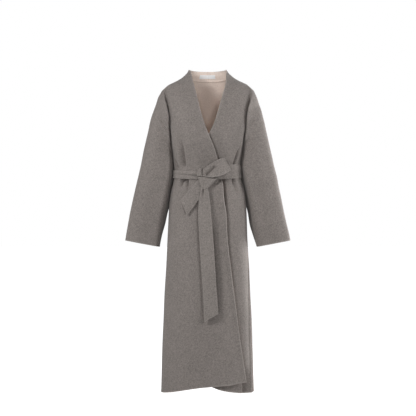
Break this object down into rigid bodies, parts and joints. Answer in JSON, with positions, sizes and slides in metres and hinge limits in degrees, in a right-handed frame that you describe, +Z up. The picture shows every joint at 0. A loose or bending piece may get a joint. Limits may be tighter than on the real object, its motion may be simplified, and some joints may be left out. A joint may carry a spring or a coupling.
{
  "type": "wrap coat",
  "caption": "Long wrap coat of thick felted wool, filled out and hollow, with a collarless grown-on neckline, dropped wide sleeves and a belt tied at the front in a half bow with hanging ends",
  "frame": {"origin": "where the wearer's shoulders carry the coat: level with the shoulders, between the two neck points", "axes": "+Z up, the front faces -Y, the wearer's left is +X"},
  "size_m": [0.6587, 0.2849, 1.2918],
  "materials": {
    "coat_wool": "felted double-faced melange wool, matte, with a short soft nap",
    "belt_wool": "the same felted wool, folded double and pressed",
    "label_white": "plain woven satin ribbon, bare"
  },
  "bodies": {
    "root": {"front_right_overlap": "coat_wool", "front_left_underlap": "coat_wool", "back": "coat_wool", "sleeve_right": "coat_wool", "sleeve_left": "coat_wool", "belt_band": "belt_wool", "belt_knot": "belt_wool", "belt_loop": "belt_wool", "belt_end_short": "belt_wool", "belt_end_long": "belt_wool", "neck_label": "label_white"}
  },
  "joints": []
}
